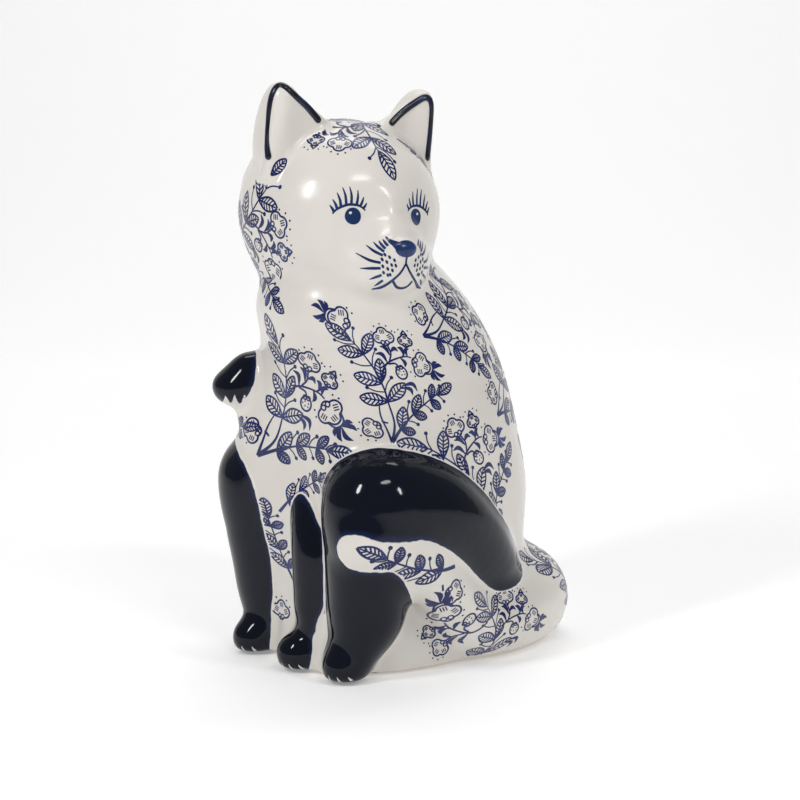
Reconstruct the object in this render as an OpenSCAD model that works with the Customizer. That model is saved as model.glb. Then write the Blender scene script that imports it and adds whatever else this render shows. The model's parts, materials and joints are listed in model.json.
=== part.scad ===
// Seated ceramic cat, slip-cast and luted together, with its head turned to its left.
// Millimetres. +Z is up, the cat faces -Y and its left side is +X.
// The origin is the middle of the bounding box's footprint, on the surface that the cat stands on.

/* [Body] */
// Thickness of the cast wall of the torso and the head
wall = 5; // [4:0.5:7]
// Half width of the back, at the level of the haunches
back_half_w = 51; // [48:0.5:53]
// Half depth of the body from chest to back
back_half_d = 57; // [54:0.5:60]
// Height of the top of the shoulders, where the neck goes into the head
neck_h = 180; // [174:1:184]
// Diameter of the air hole in the base, which lets the air out of the kiln-fired hollow
vent_d = 10; // [6:1:14]
// Diameter of the opening between the body's hollow and the head's hollow
neck_bore_d = 30; // [20:1:36]

/* [Head] */
// Angle that the head is turned from straight ahead towards the cat's left
head_turn = 81; // [60:1:90]
// Angle that the head leans down on the cat's left side
head_lean = 2.5; // [0:0.5:6]
// Half width of the head, over the cheeks
head_half_w = 43; // [40:0.5:45]
// Half depth of the head, without the muzzle
head_half_d = 47; // [43:0.5:48]
// Half height of the skull
head_half_h = 40; // [36:0.5:43]
// Radius of the nose button
nose_r = 5; // [3:0.5:7]

/* [Ears] */
// Height of an ear's tip above the middle of the head
ear_tip_h = 51.4; // [48:0.1:54]
// Distance of an ear's tip from the middle of the head, sideways
ear_tip_out = 36.5; // [32:0.5:38]
// Distance that the left ear sits closer to the middle of the head than the right ear
left_ear_in = 3.5; // [0:0.5:6]
// Radius that rounds an ear's tip and edges
ear_round = 2.6; // [1.5:0.1:3.5]

/* [Legs] */
// Radius of a hind leg's knee
knee_r = 24; // [21:0.5:25]
// Distance of a knee from the middle of the body, sideways
knee_out = 39.7; // [36:0.1:41]
// Radius of a toe end of a hind foot
foot_r = 9.5; // [8.5:0.5:11]
// Radius of the standing foreleg
foreleg_r = 11; // [9:0.5:12]
// Radius of the raised forepaw
paw_r = 11.5; // [10:0.5:13]

/* [Tail] */
// Radius of the tail at its root, behind the body
tail_root_r = 21; // [18:0.5:22]
// Radius of the tail at its tip, on the left haunch
tail_tip_r = 9.5; // [7:0.5:10]

/* [Pads] */
// Diameter of each felt pad under the base
pad_d = 14; // [10:1:18]
// Thickness of each felt pad
pad_t = 1.2; // [0.8:0.1:2]

/* [Hidden] */

glaze_white = [0.90, 0.88, 0.85];
glaze_navy = [0.06, 0.08, 0.20];
felt_grey = [0.35, 0.34, 0.33];

ball_fn = 24;      // facets round a ball
ring_fn = 40;      // facets round a body section
eps = 0.01;
LEFT = 1;
RIGHT = -1;

head_at = [-7, -32.8, 198.5];      // middle of the skull
neck_at = [-4, -32];               // middle of the neck bore, seen from above

// Body sections from the base up: height, middle in Y, half width, half depth
body_sections = [
    [0,            -1,   back_half_w - 9,  back_half_d + 4],
    [25,           -0.5, back_half_w - 7,  back_half_d + 1],
    [50,           1.5,  back_half_w - 4,  back_half_d - 0.5],
    [75,           -0.5, back_half_w - 1,  back_half_d + 1],
    [100,          -6,   back_half_w,      back_half_d],
    [125,          -11,  back_half_w - 2,  back_half_d - 2.5],
    [145,          -17,  back_half_w - 5,  back_half_d - 7],
    [160,          -23,  back_half_w - 10, back_half_d - 12],
    [neck_h - 8,   -29,  back_half_w - 17, back_half_d - 21],
    [neck_h,       -32,  back_half_w - 25, back_half_d - 29]];

// Shoulder and chest muscles, each a row of balls from the top down: [place, radius].
// The right one swells at the elbow of the raised foreleg, and its forearm reaches out to the paw.
right_shoulder = [
    [[-18, -32, 152], 18], [[-20, -36, 137], 22], [[-24, -41, 108], 23.5],
    [[-26, -42, 95], 25], [[-21, -41, 76], 24], [[-15, -39, 56], 22.5],
    [[-12, -38, 37], 21.5], [[-12, -38, 10], 21]];
right_forearm = [
    [[-26, -44, 100], 17], [[-34, -53, 112], 12.5], [[-37, -57, 120], paw_r - 0.5]];
left_shoulder = [
    [[18, -32, 152], 16], [[20, -36, 130], 20], [[19, -40, 100], 20],
    [[15, -42, 70], 16], [[17, -46, 40], 12], [[17, -51, 6], 12]];

// The tail's middle line, from its root behind the body round to its tip in front
tail_line = [
    [[-12, 46, 24], tail_root_r - 2], [[6, 55.4, 21.5], tail_root_r], [[23, 51, 19], tail_root_r],
    [[36, 26, 18], tail_root_r - 3], [[42, 2, 20], tail_root_r - 7.5],
    [[48, -14, 31], tail_tip_r + 2], [[51, -30, 47], tail_tip_r + 1],
    [[50, -46, 60.5], tail_tip_r + 0.5], [[45, -61, 63], tail_tip_r]];

pad_x = 22;
pad_front_y = -40;
pad_rear_y = 32;

// A ball, drawn inside hull() only
module ball(at, r) {
    translate(at) sphere(r, $fn = ball_fn);
}

// An egg shape with its own radius along each axis
module egg(at, radii) {
    hull() translate(at) scale(radii) sphere(1, $fn = ball_fn + 8);
}

// A limb through a row of balls
module limb(balls) {
    for (i = [0 : len(balls) - 2])
        hull() {
            ball(balls[i][0], balls[i][1]);
            ball(balls[i + 1][0], balls[i + 1][1]);
        }
}

// One thin body section, made smaller all round by inset
module body_slice(section, inset) {
    translate([0, section[1], section[0]])
        scale([section[2] - inset, section[3] - inset, 1])
            cylinder(h = eps, r = 1, $fn = ring_fn);
}

// The trunk, skinned from one section to the next
module trunk(inset) {
    for (i = [0 : len(body_sections) - 2])
        hull() {
            body_slice(body_sections[i], inset);
            body_slice(body_sections[i + 1], inset);
        }
}

// Everything under the glazed base is cut away, so that the base is flat above the pads
module below_base() {
    translate([-100, -100, -50]) cube([200, 200, 50 + pad_t]);
}

module torso_form() {
    difference() {
        union() {
            trunk(0);
            egg([-2, -28, 158], [back_half_w - 11, 42, 28]);
            limb(right_shoulder);
            limb(right_forearm);
            limb(left_shoulder);
        }
        below_base();
    }
}

module torso_hollow() {
    intersection() {
        trunk(wall + 1);
        translate([-100, -100, pad_t + wall]) cube([200, 200, neck_h - 2 * wall]);
    }
}

// Everything inside is drawn in the head's own frame: +X the cat's left, -Y ahead, +Z up
module in_head() {
    translate(head_at) rotate([0, 0, head_turn]) rotate([0, head_lean, 0]) children();
}

// Skull, jaw, muzzle and nose, made smaller all round by inset
module head_form(inset) {
    in_head() {
        egg([0, 0, 0], [head_half_w - inset, head_half_d - inset, head_half_h - inset]);
        hull() {
            egg([0, -5, -20], [head_half_w - 9 - inset, head_half_d - 11 - inset, head_half_h - 11 - inset]);
            egg([0, -1, -6], [head_half_w - 2 - inset, head_half_d - 2 - inset, head_half_h - 5 - inset]);
        }
        if (inset == 0) {
            egg([0, -37, -22], [20, 15, 15]);
            egg([0, -30, -27], [20, 17, 15]);
            egg([0, -52, -16], [nose_r, nose_r * 0.8, nose_r * 0.8]);
        }
    }
}

module torso_shell() {
    color(glaze_white) difference() {
        torso_form();
        torso_hollow();
        translate([0, 0, -eps]) cylinder(d = vent_d, h = wall * 2, $fn = 32);
        translate([neck_at[0], neck_at[1], neck_h - wall * 3])
            cylinder(d = neck_bore_d, h = wall * 6, $fn = 32);
    }
}

module head_shell() {
    color(glaze_white) difference() {
        head_form(0);
        head_form(wall);
        torso_form();
    }
}

// A three-sided ear with a dished front, in the head's frame
module ear_form(side) {
    in_head() translate([side == LEFT ? -left_ear_in : 0, 0, 0]) difference() {
        union() {
            hull() {
                ball([side * ear_tip_out, -14, ear_tip_h], ear_round);
                ball([side * (head_half_w - 3.5), -9, 15], ear_round);
                ball([side * 9, -11, 30], ear_round);
                ball([side * 31, 19, 17], ear_round);
                ball([side * 24, -4, 14], ear_round);
            }
            // the full outer edge
            limb([[[side * 31.6, 2, 22], ear_round + 5.4], [[side * 33.5, -2, 36], ear_round + 4.9],
                  [[side * (ear_tip_out - 0.7), -9.5, ear_tip_h - 3.2], ear_round + 2.8]]);
        }
        egg([side * 27, -30, 33], [15, 15, 21]);
    }
}

module ear(side) {
    color(glaze_white) difference() {
        ear_form(side);
        head_form(0);
    }
}

// Thigh, shin and foot of a seated hind leg
module hind_leg_form(side) {
    difference() {
        union() {
            limb([[[side * knee_out, -48, 77], knee_r],
                  [[side * (knee_out + 1.4), -24, 71], knee_r - 1.5],
                  [[side * knee_out, -1, 55], knee_r - 5.5],
                  [[side * (knee_out - 3), 16, 38], knee_r - 9.5]]);
            limb([[[side * (knee_out - 2.5), -50, 62], knee_r - 4],
                  [[side * (knee_out - 5.2), -50.5, 41], knee_r - 7.4],
                  [[side * (knee_out - 6.2), -50.5, 29], knee_r - 9],
                  [[side * (knee_out - 7.7), -53, 19], foot_r + 1.5],
                  [[side * (knee_out - 9), -56.5, 12], foot_r - 1]]);
            limb([[[side * (knee_out - 9), -57, 8], foot_r - 0.8],
                  [[side * (knee_out - 8.5), -61, 7], foot_r]]);
            egg([side * 33, -50, 36], [13, 11, 17]);
        }
        below_base();
    }
}

module hind_leg(side) {
    color(glaze_navy) difference() {
        hind_leg_form(side);
        torso_form();
    }
}

// The foreleg that the cat stands on, from its rounded top down to its foot
module foreleg_form() {
    difference() {
        union() {
            limb([[[0, -52.5, 76], foreleg_r - 4], [[3.2, -53.5, 67], foreleg_r - 1],
                  [[7, -55, 50], foreleg_r + 0.5], [[7.5, -55.5, 22], foreleg_r - 0.5]]);
            limb([[[6.5, -57, 9], foreleg_r - 1.8], [[2.8, -64.5, 7.5], foreleg_r - 1.8]]);
        }
        below_base();
    }
}

module left_foreleg() {
    color(glaze_navy) difference() {
        foreleg_form();
        torso_form();
        hind_leg_form(LEFT);
    }
}

// The raised paw, bent down at the wrist
module right_forepaw() {
    color(glaze_navy) difference() {
        union() {
            limb([[[-29, -46, 122], paw_r - 1.5], [[-36, -61, 126], paw_r - 2]]);
            hull() {
                ball([-36, -61, 126], paw_r - 2);
                egg([-39.5, -65.3, 120.5], [paw_r, paw_r - 0.5, paw_r - 2.5]);
            }
        }
        torso_form();
    }
}

module tail() {
    color(glaze_white) difference() {
        limb(tail_line);
        below_base();
        torso_form();
        hind_leg_form(LEFT);
    }
}

module pad(x, y) {
    color(felt_grey) translate([x, y, 0]) cylinder(d = pad_d, h = pad_t, $fn = 48);
}

torso_shell();
head_shell();
ear(LEFT);  // left_ear
ear(RIGHT);  // right_ear
hind_leg(LEFT);  // left_hind_leg
hind_leg(RIGHT);  // right_hind_leg
left_foreleg();
right_forepaw();
tail();
pad(pad_x, pad_front_y);  // front_left_pad
pad(-pad_x, pad_front_y);  // front_right_pad
pad(pad_x, pad_rear_y);  // rear_left_pad
pad(-pad_x, pad_rear_y);  // rear_right_pad
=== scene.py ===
import json
from math import cos, pi, radians, sin

import bpy
import numpy as np
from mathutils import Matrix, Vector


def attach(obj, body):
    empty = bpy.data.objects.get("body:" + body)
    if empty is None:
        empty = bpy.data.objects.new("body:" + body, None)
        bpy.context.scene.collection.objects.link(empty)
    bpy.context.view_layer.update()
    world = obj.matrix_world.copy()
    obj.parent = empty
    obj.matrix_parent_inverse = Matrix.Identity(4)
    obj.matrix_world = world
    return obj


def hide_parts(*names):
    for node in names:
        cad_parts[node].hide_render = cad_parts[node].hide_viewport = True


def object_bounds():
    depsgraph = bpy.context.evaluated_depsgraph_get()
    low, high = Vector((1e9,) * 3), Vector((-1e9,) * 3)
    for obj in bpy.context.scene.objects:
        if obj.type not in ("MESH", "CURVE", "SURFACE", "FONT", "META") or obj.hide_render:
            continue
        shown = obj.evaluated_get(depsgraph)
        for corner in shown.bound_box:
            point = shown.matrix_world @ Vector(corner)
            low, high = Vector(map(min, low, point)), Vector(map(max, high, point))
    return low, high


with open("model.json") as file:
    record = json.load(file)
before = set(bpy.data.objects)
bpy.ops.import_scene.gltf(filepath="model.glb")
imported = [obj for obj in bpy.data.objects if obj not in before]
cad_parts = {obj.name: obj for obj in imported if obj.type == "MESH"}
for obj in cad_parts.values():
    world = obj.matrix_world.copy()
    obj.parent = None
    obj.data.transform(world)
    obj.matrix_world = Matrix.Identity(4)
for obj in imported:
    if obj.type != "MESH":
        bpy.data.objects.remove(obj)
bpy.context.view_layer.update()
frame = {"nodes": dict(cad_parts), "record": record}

import openvdb
from mathutils import Vector
from mathutils.bvhtree import BVHTree

# The cat is shaped in millimetres, in the frame's own axes: +Z up, the chest faces -Y, its left is +X.
MM = 0.001
PAD_TOP = 1.2          # height of the glazed base above the ground
VOXEL = 1.0    # size of the grid that the surface is read from
COARSE = 4             # voxels in a coarse step
WALL = 1.8             # how far each visible shell goes in from the surface
LEFT, RIGHT = 1, -1
TINY = 1e-9            # keeps a division away from zero

HEAD_AT = np.array((-7.0, -32.8, 198.5))
HEAD_TURN = radians(81)
HEAD_LEAN = radians(2.5)

# The main camera
CAMERA_AZIMUTH = radians(50)
CAMERA_ELEVATION = radians(8.85)
CAMERA_DISTANCE = 900
CAMERA_LENS = 89.7
CAMERA_TARGET = (-2.85, -1.39, 112.3)


# ---------------------------------------------------------------- distance fields

def join(a, b, k):
    """Smooth union over a width k."""
    h = np.clip(0.5 + 0.5 * (b - a) / k, 0, 1)
    return b + (a - b) * h - k * h * (1 - h)


def cut(a, b, k):
    """Smooth intersection over a width k."""
    return -join(-a, -b, k)


def egg(p, centre, radii, axes=None):
    q = p - np.asarray(centre, np.float32)
    if axes is not None:
        q = q @ np.asarray(axes, np.float32).T
    radii = np.asarray(radii, np.float32)
    k0 = np.sqrt(((q / radii) ** 2).sum(1))
    k1 = np.sqrt(((q / radii ** 2) ** 2).sum(1)) + TINY
    return k0 * (k0 - 1) / k1


def cone(p, a, b, ra, rb):
    """A cone with a ball at each end."""
    a, b = np.asarray(a, np.float32), np.asarray(b, np.float32)
    ba = b - a
    l2 = ba @ ba
    rr = ra - rb
    a2 = l2 - rr * rr
    pa = p - a
    y = pa @ ba
    z = y - l2
    x2 = ((pa * l2 - y[:, None] * ba) ** 2).sum(1)
    y2, z2 = y * y * l2, z * z * l2
    k = np.sign(rr) * rr * rr * x2
    d = (np.sqrt(x2 * a2 / l2) + y * rr) / l2 - ra
    d = np.where(np.sign(y) * a2 * y2 < k, np.sqrt(x2 + y2) / l2 - ra, d)
    return np.where(np.sign(z) * a2 * z2 > k, np.sqrt(x2 + z2) / l2 - rb, d)


def curve_through(rows, steps):
    """Rows of numbers, smoothly filled in between."""
    rows = np.array(rows, float)
    ends = np.vstack([2 * rows[0] - rows[1], rows, 2 * rows[-1] - rows[-2]])
    t = (np.arange(steps) / steps)[:, None]
    out = []
    for p0, p1, p2, p3 in zip(ends, ends[1:], ends[2:], ends[3:]):
        out.append(0.5 * (2 * p1 + (p2 - p0) * t + (2 * p0 - 5 * p1 + 4 * p2 - p3) * t ** 2
                          + (3 * p1 - p0 - 3 * p2 + p3) * t ** 3))
    return np.vstack(out + [rows[-1:]])


def limb(p, balls, steps=4, k=3):
    """A limb through balls (x, y, z, radius)."""
    balls = curve_through(balls, steps)
    d = None
    for a, b in zip(balls, balls[1:]):
        piece = cone(p, a[:3], b[:3], a[3], b[3])
        d = piece if d is None else join(d, piece, k)
    return d


# Body sections: height, middle in Y, half width, half depth, squareness
# Limbs: balls, each with its centre and radius
BODY_SECTIONS = [
    (-6, -1, 41, 60, 2.5), (0, -1, 42, 61, 2.5), (25, -0.5, 44, 58, 2.2), (50, 1.5, 47, 56.5, 2.0),
    (75, -0.5, 50, 58, 2.0), (100, -6, 51, 57, 2.0), (125, -11, 49, 54.5, 2.0), (145, -17, 46, 50, 2.0),
    (160, -23, 41, 45, 2.0), (172, -29, 34, 36, 2.0), (182, -32, 26, 28, 2.0)]
RIGHT_SHOULDER = [(-18, -32, 152, 18), (-20, -36, 137, 22), (-24, -41, 108, 23.5), (-26, -42, 95, 25),
                  (-21, -41, 76, 24), (-15, -39, 56, 22.5), (-12, -38, 37, 21.5), (-12, -38, 10, 21)]
CHEST = ((-2, -28, 158), (40, 42, 28))
LEFT_SHOULDER = [(18, -32, 152, 16), (20, -36, 130, 20), (19, -40, 100, 20), (15, -42, 70, 16),
                 (17, -46, 40, 12), (17, -51, 6, 12)]
RIGHT_FOREARM = [(-26, -44, 100, 17), (-34, -53, 112, 12.5), (-37, -57, 120, 11)]
FORELEG = [(0, -52.5, 76, 7), (3.2, -53.5, 67, 10), (7, -55, 50, 11.5), (7.5, -55.5, 22, 10.5)]
FOREFOOT = [(6.5, -57, 9, 9.2), (2.8, -64.5, 7.5, 9.2)]
HAUNCH = [(38.1, -48, 77, 24), (39.7, -24, 71, 22.5), (39, -1, 55, 18.5), (36.5, 16, 38, 14.5)]
SHIN = [(37, -50, 62, 20), (34.5, -50.5, 41, 16.6), (33.5, -50.5, 29, 15), (32, -53, 19, 11),
        (30.6, -56.5, 12, 8.4)]
TAIL = [(-12, 45, 24, 19), (6, 53.8, 21, 20.8), (23, 50, 18.5, 21), (36, 26, 18, 18), (42, 2, 20, 13.5),
        (48, -14, 31, 11.5), (51, -30, 47, 10.5), (50, -46, 60.5, 10), (45, -61, 63, 9.5)]


def head_axes():
    """The head's own directions: its left, ahead, up."""
    left = np.array((cos(HEAD_TURN), sin(HEAD_TURN), 0))
    ahead = np.array((sin(HEAD_TURN), -cos(HEAD_TURN), 0))
    up = np.array((0, 0, 1.0))
    c, s = cos(HEAD_LEAN), sin(HEAD_LEAN)
    return np.stack([left * c - up * s, ahead, up * c + left * s])


HEAD_AXES = head_axes()

# Eggs of the head: centre (left, ahead and up from the middle of the head), radii, blend
SKULL_RADII = (43, 47, 40)
EYE_SOCKET = ((18, 56, 1), (13, 10, 11), 10)
HEAD_EGGS = {
    "jaw": ((0, 4, -20), (32, 37, 29), 12),
    "muzzle": ((0, 40, -22), (19, 15, 14), 12),
    "bridge": ((0.5, 42.2, -12), (8, 7, 8), 11),
    "nose": ((1.2, 53.4, -12.8), (6.0, 3.0, 3.7), 3)}

# Ears: left, ahead and up from the middle of the head, for a right ear turned to the left side
EAR_CORNERS = ((37, 14.5, 50.5), (40, 10, 14), (8, 12, 31), (31, -20, 16), (29, 3, 22))
EAR_RIM = [(31.6, -2, 22, 8), (33.5, 2, 36, 7.5), (35.8, 9.5, 48.6, 5.4)]
EAR_HOLLOW = ((27, 31, 34), (15, 15.5, 22))
EAR_ROUND = 3.6        # how far the ear's flat sides are pushed out
LEFT_EAR_INWARD = 3.5  # the left ear sits a little closer in


def in_head(left, ahead, up):
    return HEAD_AT + np.array((left, ahead, up)) @ HEAD_AXES


def torso(p):
    rows = curve_through(BODY_SECTIONS, 8)
    cy, ax, ay, power = [np.interp(p[:, 2], rows[:, 0], rows[:, i]).astype(np.float32) for i in range(1, 5)]
    k = ((np.abs(p[:, 0]) / ax) ** power + (np.abs(p[:, 1] - cy) / ay) ** power + TINY) ** (1 / power)
    d = np.maximum((k - 1) * np.minimum(ax, ay), p[:, 2] - BODY_SECTIONS[-1][0])
    d = join(d, egg(p, *CHEST), 12)
    d = join(join(d, limb(p, RIGHT_SHOULDER, 2), 8), limb(p, LEFT_SHOULDER, 2), 8)
    return join(d, limb(p, RIGHT_FOREARM, 2), 6)


def head(p):
    d = egg(p, HEAD_AT, SKULL_RADII, HEAD_AXES)
    (x, y, z), radii, blend = EYE_SOCKET
    for side in (LEFT, RIGHT):
        d = cut(d, -egg(p, in_head(side * x, y, z), radii, HEAD_AXES), blend)
    for centre, radii, blend in HEAD_EGGS.values():
        d = join(d, egg(p, in_head(*centre), radii, HEAD_AXES), blend)
    return d


def face_of(p, a, b, c, inside):
    """Distance from the plane through a, b and c, negative on the side that inside is on."""
    n = np.cross(b - a, c - a)
    n /= np.linalg.norm(n)
    if (inside - a) @ n > 0:
        n = -n
    return (p - a.astype(np.float32)) @ n.astype(np.float32)


def ear(p, side):
    inward = LEFT_EAR_INWARD if side == LEFT else 0
    tip, outer, inner, back, middle = [in_head(side * (x - inward), y, z) for x, y, z in EAR_CORNERS]
    d = face_of(p, tip, outer, inner, middle)
    d = cut(d, face_of(p, tip, outer, back, middle), 7)
    d = cut(d, face_of(p, tip, inner, back, middle), 10) - EAR_ROUND
    d = join(d, limb(p, [(*in_head(side * (x - inward), y, z), r) for x, y, z, r in EAR_RIM]), 4)
    low = -((p - in_head(0, 0, 12).astype(np.float32)) @ HEAD_AXES[2].astype(np.float32))
    d = cut(d, low, 4)
    (x, y, z), radii = EAR_HOLLOW
    return cut(d, -egg(p, in_head(side * (x - inward), y, z), radii, HEAD_AXES), 2.5)


def hind_leg(p, side):
    q = p * np.array((side, 1, 1), np.float32)
    d = join(limb(q, HAUNCH), limb(q, SHIN), 8)
    out, on = (2.5, 2) if side == RIGHT else (0, 0)      # the right foot stands a little further out and on
    foot = [(30.4 + out * 0.6, -57, 8, 8.6), (30.4 + out, -60.5 - on, 6.8, 9.3)]
    return join(d, limb(q, foot, 2), 4)


def forepaw(p):
    d = join(egg(p, (-39.5, -65, 120.5), (11.5, 11, 9)), egg(p, (-36, -61, 126), (9.5, 9.5, 9.5)), 5)
    return join(d, cone(p, (-25.8, -42.6, 120), (-35, -56, 124), 13.2, 10.5), 5)


# Each piece, in the order they are blended, with the width of its blend into the ones before it
PIECES = {
    "torso_shell": (torso, 0),
    "head_shell": (head, 5),
    "left_ear": (lambda p: ear(p, LEFT), 4),
    "right_ear": (lambda p: ear(p, RIGHT), 4),
    "left_hind_leg": (lambda p: hind_leg(p, LEFT), 6),
    "right_hind_leg": (lambda p: hind_leg(p, RIGHT), 6),
    "left_foreleg": (lambda p: join(limb(p, FORELEG), limb(p, FOREFOOT, 2), 5), 4),
    "right_forepaw": (forepaw, 4),
    "tail": (lambda p: limb(p, TAIL), 9)}


def cat(p):
    """Distance to the whole cat, and to each piece, at points p."""
    p = p.astype(np.float32)
    each = [field(p) for field, _ in PIECES.values()]
    whole = each[0]
    for d, (_, k) in zip(each[1:], list(PIECES.values())[1:]):
        whole = join(whole, d, k)
    whole = cut(whole, PAD_TOP - p[:, 2], 2.5)
    return whole, np.stack(each)


def cat_in_slabs(p, slab=200000):
    parts = [cat(p[i:i + slab]) for i in range(0, len(p), slab)]
    return np.concatenate([w for w, _ in parts]), np.concatenate([e for _, e in parts], 1)


def settle(p, steps=3):
    """Moves points on to the surface, and gives its normals there."""
    h = 0.25
    shifts = np.array([(1, -1, -1), (-1, -1, 1), (-1, 1, -1), (1, 1, 1)], np.float32)
    p = p.astype(np.float32)
    for step in range(steps):
        grad = sum(s * cat_in_slabs(p + h * s)[0][:, None] for s in shifts) / (4 * h)
        if step < steps - 1:
            p = p - grad * (cat_in_slabs(p)[0] / np.maximum((grad ** 2).sum(1), 0.1))[:, None]
    return p, grad / np.linalg.norm(grad, axis=1)[:, None]


# ---------------------------------------------------------------- surface

def read_surface(low, high):
    """The cat's skin as quads, read from a grid over the box from low to high."""
    step = VOXEL * COARSE
    count = np.ceil((high - low) / step).astype(int) + 3
    origin = low - step
    axes = [origin[i] + step * (np.arange(count[i]) + 0.5) for i in range(3)]
    points = np.stack(np.meshgrid(*axes, indexing="ij"), -1).reshape(-1, 3)
    rough = cat_in_slabs(points)[0]
    fine = np.repeat(np.repeat(np.repeat(rough.reshape(count), COARSE, 0), COARSE, 1), COARSE, 2)
    near = np.abs(rough) < step * 1.7
    sub = np.stack(np.meshgrid(*[np.arange(COARSE)] * 3, indexing="ij"), -1).reshape(-1, 3)
    sub = (sub + 0.5) / COARSE - 0.5
    cells = np.stack(np.unravel_index(np.flatnonzero(near), count), 1)
    index = (cells[:, None] * COARSE + ((sub + 0.5) * COARSE).astype(int)).reshape(-1, 3)
    places = (points[near][:, None] + sub * step).reshape(-1, 3)
    fine[tuple(index.T)] = cat_in_slabs(places)[0]
    grid = openvdb.FloatGrid(3 * VOXEL)
    grid.copyFromArray(np.clip(fine, -3, 3).astype(np.float32))
    verts, quads = grid.convertToQuads(0)
    verts = origin + (verts + 0.5) * VOXEL
    return verts, quads


def clip(quads, field, places, normals):
    """The part of the quads where field is below zero, cut cleanly where it passes zero."""
    inside = field < 0
    sides = inside[quads].sum(1)
    whole = quads[sides == 4]
    mixed = quads[(sides > 0) & (sides < 4)]
    triangles = np.concatenate([mixed[:, (0, 1, 2)], mixed[:, (0, 2, 3)]])
    kept = inside[triangles].sum(1)
    faces = [list(map(int, f)) for f in whole] + [list(map(int, f)) for f in triangles[kept == 3]]
    crossings = {}
    new_places, new_normals = list(places), list(normals)

    def crossing(a, b):
        key = (min(a, b), max(a, b))
        if key not in crossings:
            t = field[key[0]] / (field[key[0]] - field[key[1]])
            crossings[key] = len(new_places)
            new_places.append(places[key[0]] * (1 - t) + places[key[1]] * t)
            new_normals.append(normals[key[0]] * (1 - t) + normals[key[1]] * t)
        return crossings[key]

    for triangle, n in zip(triangles, kept):
        if n in (1, 2):
            # the triangle is turned so that its odd corner comes first
            odd = [i for i in range(3) if inside[triangle[i]] == (n == 1)][0]
            a, b, c = (int(triangle[(odd + i) % 3]) for i in range(3))
            ab, ac = crossing(a, b), crossing(a, c)
            faces.append([a, ab, ac] if n == 1 else [ab, b, c, ac])
    used, renumbered = np.unique(np.concatenate([np.array(f) for f in faces]), return_inverse=True)
    lengths = [len(f) for f in faces]
    faces = [list(map(int, f)) for f in np.split(renumbered, np.cumsum(lengths)[:-1])]
    new_normals = np.array(new_normals)[used]
    return np.array(new_places)[used], new_normals / np.linalg.norm(new_normals, axis=1)[:, None], faces


def open_edges(faces):
    """Edges that only one face has, each in its own face's direction."""
    edges = {}
    for face in faces:
        for a, b in zip(face, face[1:] + face[:1]):
            if (b, a) in edges:
                del edges[(b, a)]
            else:
                edges[(a, b)] = True
    return list(edges)


def new_mesh(name, places, faces, corner_normals=None):
    mesh = bpy.data.meshes.new(name)
    mesh.from_pydata((np.asarray(places) * MM).tolist(), [], faces)
    mesh.polygons.foreach_set("use_smooth", np.ones(len(faces), bool))
    if corner_normals is not None:
        mesh.normals_split_custom_set(corner_normals)
    piece = bpy.data.objects.new(name, mesh)
    bpy.context.scene.collection.objects.link(piece)
    return piece


def make_shell(name, places, normals, faces, paint):
    """A closed shell: the skin, an inner skin WALL below it, and a flat rim between them."""
    n = len(places)
    rim = open_edges(faces)
    inner = [[v + n for v in reversed(face)] for face in faces]
    band = [[b, a, a + n, b + n] for a, b in rim]
    corner_normals = [tuple(normals[v]) for face in faces for v in face]
    corner_normals += [tuple(-normals[v - n]) for face in inner for v in face]
    for a, b, a2, b2 in ((f[1], f[0], f[2], f[3]) for f in band):
        along = places[b] - places[a]
        flat = np.cross(along, -normals[a])
        flat = flat / (np.linalg.norm(flat) + 1e-12)
        corner_normals += [tuple(-flat)] * 4
    both_skins = np.concatenate([places, places - normals * WALL])
    piece = new_mesh(name, both_skins, faces + inner + band, corner_normals)
    layer = piece.data.attributes.new("paint", "FLOAT", "POINT")
    layer.data.foreach_set("value", np.concatenate([paint, paint]).astype(np.float32))
    return piece


# The raised paw's dark glaze: the direction its toes stand side by side in, the height its lower edge is at,
# the gaps between the toes along that direction, and how high and wide the notch at each gap is
PAW_ACROSS = radians(50)
PAW_EDGE = 113.9
PAW_GAPS = (-79.6, -75.6, -71.4, -67)
PAW_NOTCH = (4.2, 1.4)


def paw_paint(places):
    """How far inside the raised paw's dark glaze a point is: white below, with a notch between the toes."""
    along = places @ np.array((cos(PAW_ACROSS), sin(PAW_ACROSS), 0))
    rise, reach = PAW_NOTCH
    edge = np.full(len(places), PAW_EDGE)
    for gap in PAW_GAPS:
        edge = np.maximum(edge, PAW_EDGE + rise * (1 - np.abs(along - gap) / reach))
    return places[:, 2] - edge + 0.8


def make_cat():
    """One shell for each ceramic piece, cut apart where the pieces' own shapes meet."""
    low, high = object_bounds()
    low, high = np.array(low) / MM, np.array(high) / MM
    places, quads = read_surface(low, high)
    places, normals = settle(places)
    if (normals[quads[:, 0]] * np.cross(places[quads[:, 1]] - places[quads[:, 0]],
                                        places[quads[:, 2]] - places[quads[:, 0]])).sum() < 0:
        quads = quads[:, ::-1]
    each = cat_in_slabs(places)[1]
    shells = {}
    for i, name in enumerate(PIECES):
        others = np.delete(each, i, 0).min(0)
        field = each[i] - others
        near = (field[quads] < 0).any(1)
        part_places, part_normals, faces = clip(quads[near], field, places, normals)
        own = cat_in_slabs(part_places)[1]
        paint = np.delete(own, i, 0).min(0) - own[i]
        if name == "right_forepaw":
            paint = np.minimum(paint, paw_paint(part_places))
        shells[name] = make_shell(name, part_places, part_normals, faces, paint)
        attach(shells[name], "root")
        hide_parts(name)
    return shells, Skin(places, normals, quads, each)


# ---------------------------------------------------------------- drawn pattern
# A drawing is flat, in millimetres, with each point a complex number: across + 1j * up.
# A chart then lays it on the surface by casting a ray for each point.

LINE = 0.8             # width of an ordinary pattern line
GRAIN = 0.7            # longest step along a stroke


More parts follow.
